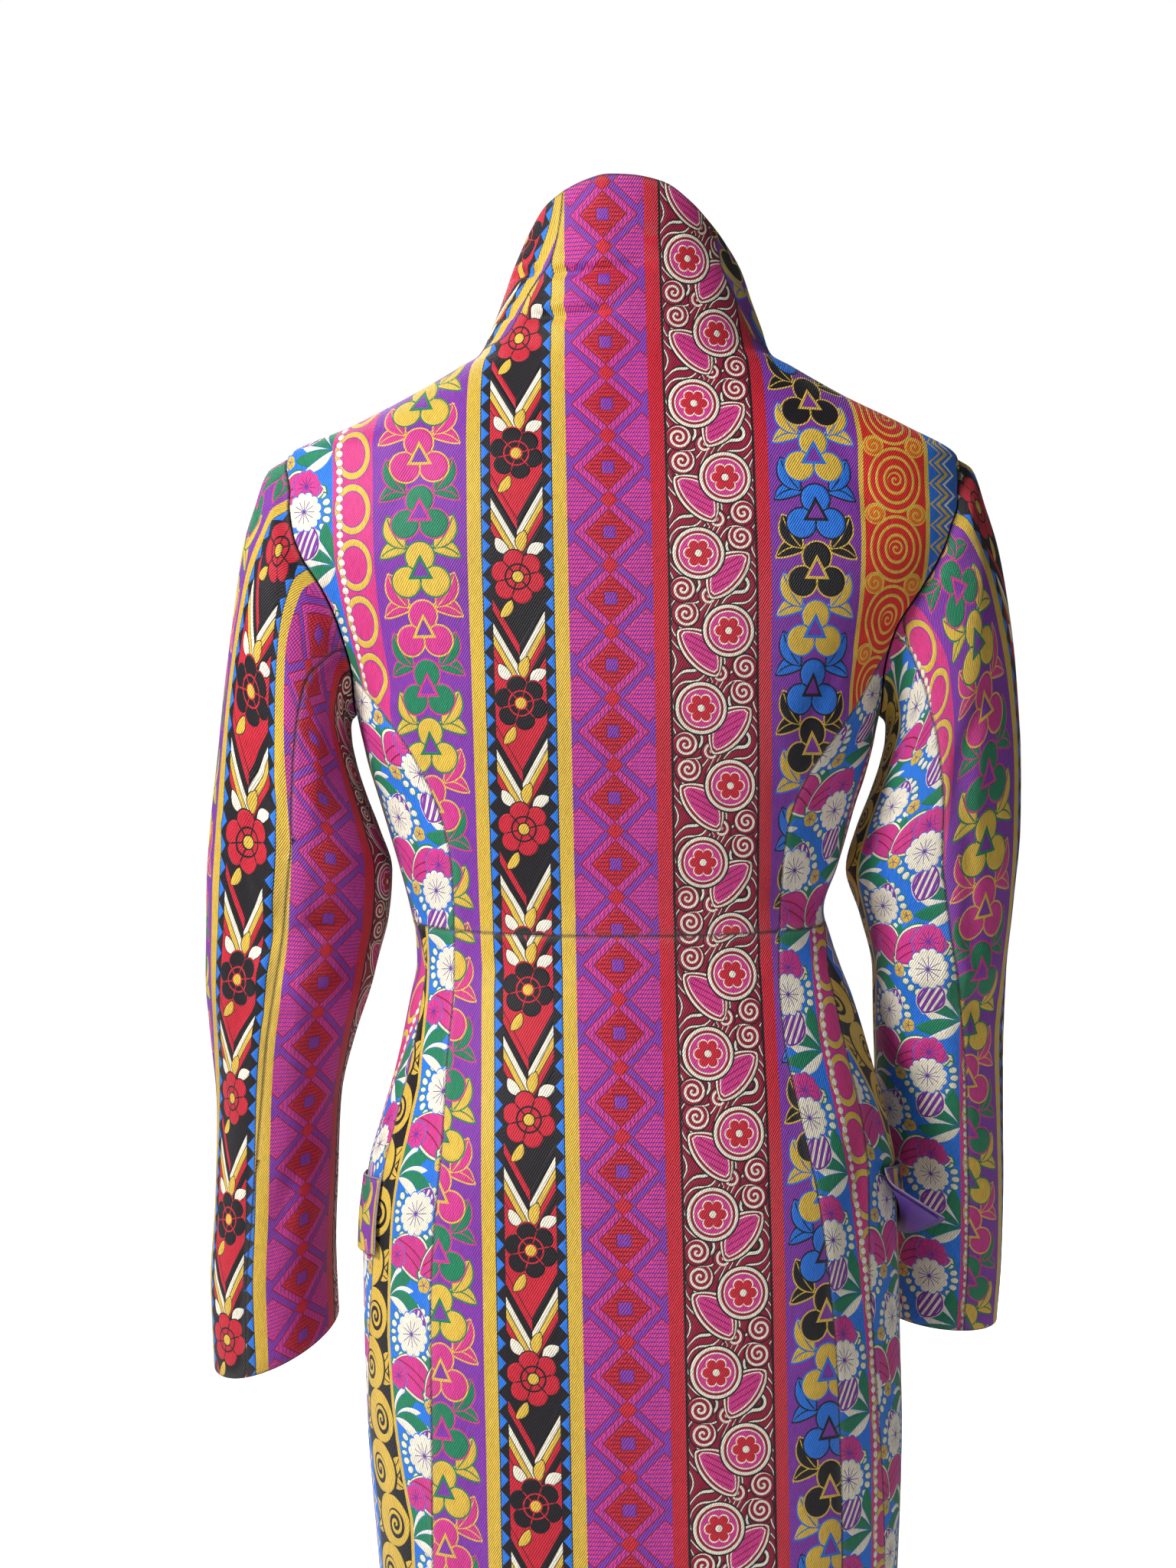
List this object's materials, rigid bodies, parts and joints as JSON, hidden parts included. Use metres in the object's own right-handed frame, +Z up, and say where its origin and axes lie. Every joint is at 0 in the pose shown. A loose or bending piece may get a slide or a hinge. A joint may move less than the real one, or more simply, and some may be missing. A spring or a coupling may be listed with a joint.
{
  "type": "blazer",
  "caption": "Fitted long blazer in striped jacquard, with a grown-on stand collar, princess seams, a waist seam, two-piece sleeves and hip flaps, hollow as worn.",
  "frame": {"origin": "middle of the neck, level with the two neck points where shoulder seams and collar seams meet", "axes": "+Z up; the wearer faces -Y; the wearer's left is +X"},
  "size_m": [0.5163, 0.2623, 0.9626],
  "materials": {
    "jacquard_back": "heavy multi-stripe jacquard, satin sheen on a twill ground",
    "jacquard_side": "same jacquard, blue floral band",
    "jacquard_front": "same jacquard",
    "jacquard_sleeve": "same jacquard",
    "flap_lining": "plain satin lining",
    "button": "dark polished button"
  },
  "bodies": {
    "root": {"back_bodice": "jacquard_back", "side_back_bodice_left": "jacquard_side", "side_back_bodice_right": "jacquard_side", "front_bodice_left": "jacquard_front", "front_bodice_right": "jacquard_front", "back_skirt": "jacquard_back", "side_skirt_left": "jacquard_side", "side_skirt_right": "jacquard_side", "front_skirt_left": "jacquard_front", "front_skirt_right": "jacquard_front", "top_sleeve_left": "jacquard_sleeve", "top_sleeve_right": "jacquard_sleeve", "under_sleeve_left": "jacquard_sleeve", "under_sleeve_right": "jacquard_sleeve", "flap_left": "jacquard_front", "flap_right": "jacquard_front", "flap_lining_right": "flap_lining", "button_1": "button", "button_2": "button", "button_3": "button", "button_4": "button"}
  },
  "joints": []
}
